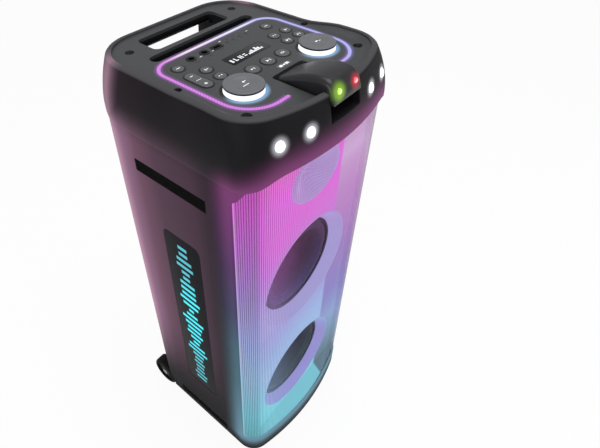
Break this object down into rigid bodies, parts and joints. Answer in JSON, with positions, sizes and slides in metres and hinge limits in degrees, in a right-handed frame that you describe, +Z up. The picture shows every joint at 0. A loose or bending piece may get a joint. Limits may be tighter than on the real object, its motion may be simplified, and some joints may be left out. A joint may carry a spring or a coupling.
{
  "type": "party speaker",
  "caption": "Tall portable party speaker on rear wheels, with a lit full-height grille, a control panel with knobs on top, spot lamps, a laser hood and a carrying handle.",
  "frame": {"origin": "on the floor, under the middle of the whole speaker", "axes": "+Z up from the floor, -Y out of the grille, +X to the right as seen from the front"},
  "size_m": [0.344, 0.3749, 0.947],
  "materials": {
    "black_shell": "fine-grained black moulding",
    "panel_grey": "satin dark grey moulding",
    "lit_grille": "perforated sheet, painted and lit magenta to cyan from behind",
    "lit_baffle": "translucent moulding that spreads the coloured light",
    "cone_black": "coated black cone with a rubber surround",
    "plain_steel": "bare steel",
    "black_rubber": "black rubber",
    "black_gloss": "glossy black",
    "lit_white": "milky diffuser, lit white",
    "lit_strip": "milky diffuser, lit pink to lavender",
    "ring_diffuser": "milky ring, lit lavender to cyan",
    "green_lens": "clear green glass",
    "red_lens": "clear red glass",
    "board_green": "circuit board"
  },
  "bodies": {
    "cabinet": {"cabinet_shell": "black_shell", "head_housing": "black_shell", "rear_panel": "black_shell", "top_cover": "panel_grey", "light_strip": "lit_strip", "display_window": "black_gloss", "jack_socket_1": "black_rubber", "jack_socket_2": "black_rubber", "usb_socket": "black_rubber", "control_board": "board_green", "laser_hood": "black_gloss", "laser_lens_green": "green_lens", "laser_lens_red": "red_lens", "front_grille": "lit_grille", "front_baffle": "lit_baffle", "tweeter_horn": "black_gloss", "tweeter_driver": "plain_steel", "bass_port": "black_gloss", "mains_inlet": "black_gloss", "amplifier_board": "board_green", "battery_pack": "black_gloss", "wheel_axle": "plain_steel", "front_foot": "black_rubber", "rear_foot": "black_rubber", "left_knob_band": "lit_white", "right_knob_band": "lit_white", "spot_lamp_1": "lit_white", "spot_lamp_2": "lit_white", "spot_lamp_3": "lit_white", "spot_lamp_4": "lit_white", "upper_woofer_frame": "plain_steel", "upper_woofer_cone": "cone_black", "upper_woofer_light_ring": "ring_diffuser", "lower_woofer_frame": "plain_steel", "lower_woofer_cone": "cone_black", "lower_woofer_light_ring": "ring_diffuser", "left_upper_pad": "black_rubber", "left_lower_pad": "black_rubber", "left_badge_panel": "black_gloss", "right_upper_pad": "black_rubber", "right_lower_pad": "black_rubber", "right_badge_panel": "black_gloss"},
    "power_button_body": {"power_button": "panel_grey"},
    "left_button_1_body": {"left_button_1": "panel_grey"},
    "left_button_2_body": {"left_button_2": "panel_grey"},
    "centre_button_1_body": {"centre_button_1": "panel_grey"},
    "centre_button_2_body": {"centre_button_2": "panel_grey"},
    "centre_button_3_body": {"centre_button_3": "panel_grey"},
    "right_button_1_body": {"right_button_1": "panel_grey"},
    "right_button_2_body": {"right_button_2": "panel_grey"},
    "right_button_3_body": {"right_button_3": "panel_grey"},
    "right_button_4_body": {"right_button_4": "panel_grey"},
    "right_button_5_body": {"right_button_5": "panel_grey"},
    "rocker_button_body": {"rocker_button": "panel_grey"},
    "left_knob_body": {"left_knob": "panel_grey"},
    "right_knob_body": {"right_knob": "panel_grey"},
    "left_wheel_body": {"left_wheel": "black_rubber"},
    "right_wheel_body": {"right_wheel": "black_rubber"}
  },
  "joints": [
    {"name": "left_wheel_roll", "type": "hinge", "parent": "cabinet", "child": "left_wheel_body", "pos_m": [-0.1565, 0.1495, 0.041], "axis": [1, 0, 0], "continuous": true},
    {"name": "right_wheel_roll", "type": "hinge", "parent": "cabinet", "child": "right_wheel_body", "pos_m": [0.1565, 0.1495, 0.041], "axis": [1, 0, 0], "continuous": true},
    {"name": "left_knob_turn", "type": "hinge", "parent": "cabinet", "child": "left_knob_body", "pos_m": [-0.0835, -0.0745, 0.922], "axis": [0, 0, 1], "continuous": true},
    {"name": "right_knob_turn", "type": "hinge", "parent": "cabinet", "child": "right_knob_body", "pos_m": [0.0815, -0.0745, 0.922], "axis": [0, 0, 1], "continuous": true},
    {"name": "power_button_press", "type": "slide", "parent": "cabinet", "child": "power_button_body", "axis": [0, 0, -1], "range_m": [0, 0.0012], "stiffness_N_per_m": 300, "springref_m": -0.001},
    {"name": "left_button_1_press", "type": "slide", "parent": "cabinet", "child": "left_button_1_body", "axis": [0, 0, -1], "range_m": [0, 0.0012], "stiffness_N_per_m": 300, "springref_m": -0.001},
    {"name": "left_button_2_press", "type": "slide", "parent": "cabinet", "child": "left_button_2_body", "axis": [0, 0, -1], "range_m": [0, 0.0012], "stiffness_N_per_m": 300, "springref_m": -0.001},
    {"name": "centre_button_1_press", "type": "slide", "parent": "cabinet", "child": "centre_button_1_body", "axis": [0, 0, -1], "range_m": [0, 0.0012], "stiffness_N_per_m": 300, "springref_m": -0.001},
    {"name": "centre_button_2_press", "type": "slide", "parent": "cabinet", "child": "centre_button_2_body", "axis": [0, 0, -1], "range_m": [0, 0.0012], "stiffness_N_per_m": 300, "springref_m": -0.001},
    {"name": "centre_button_3_press", "type": "slide", "parent": "cabinet", "child": "centre_button_3_body", "axis": [0, 0, -1], "range_m": [0, 0.0012], "stiffness_N_per_m": 300, "springref_m": -0.001},
    {"name": "right_button_1_press", "type": "slide", "parent": "cabinet", "child": "right_button_1_body", "axis": [0, 0, -1], "range_m": [0, 0.0012], "stiffness_N_per_m": 300, "springref_m": -0.001},
    {"name": "right_button_2_press", "type": "slide", "parent": "cabinet", "child": "right_button_2_body", "axis": [0, 0, -1], "range_m": [0, 0.0012], "stiffness_N_per_m": 300, "springref_m": -0.001},
    {"name": "right_button_3_press", "type": "slide", "parent": "cabinet", "child": "right_button_3_body", "axis": [0, 0, -1], "range_m": [0, 0.0012], "stiffness_N_per_m": 300, "springref_m": -0.001},
    {"name": "right_button_4_press", "type": "slide", "parent": "cabinet", "child": "right_button_4_body", "axis": [0, 0, -1], "range_m": [0, 0.0012], "stiffness_N_per_m": 300, "springref_m": -0.001},
    {"name": "right_button_5_press", "type": "slide", "parent": "cabinet", "child": "right_button_5_body", "axis": [0, 0, -1], "range_m": [0, 0.0012], "stiffness_N_per_m": 300, "springref_m": -0.001},
    {"name": "rocker_button_press", "type": "slide", "parent": "cabinet", "child": "rocker_button_body", "axis": [0, 0, -1], "range_m": [0, 0.0012], "stiffness_N_per_m": 300, "springref_m": -0.001}
  ]
}
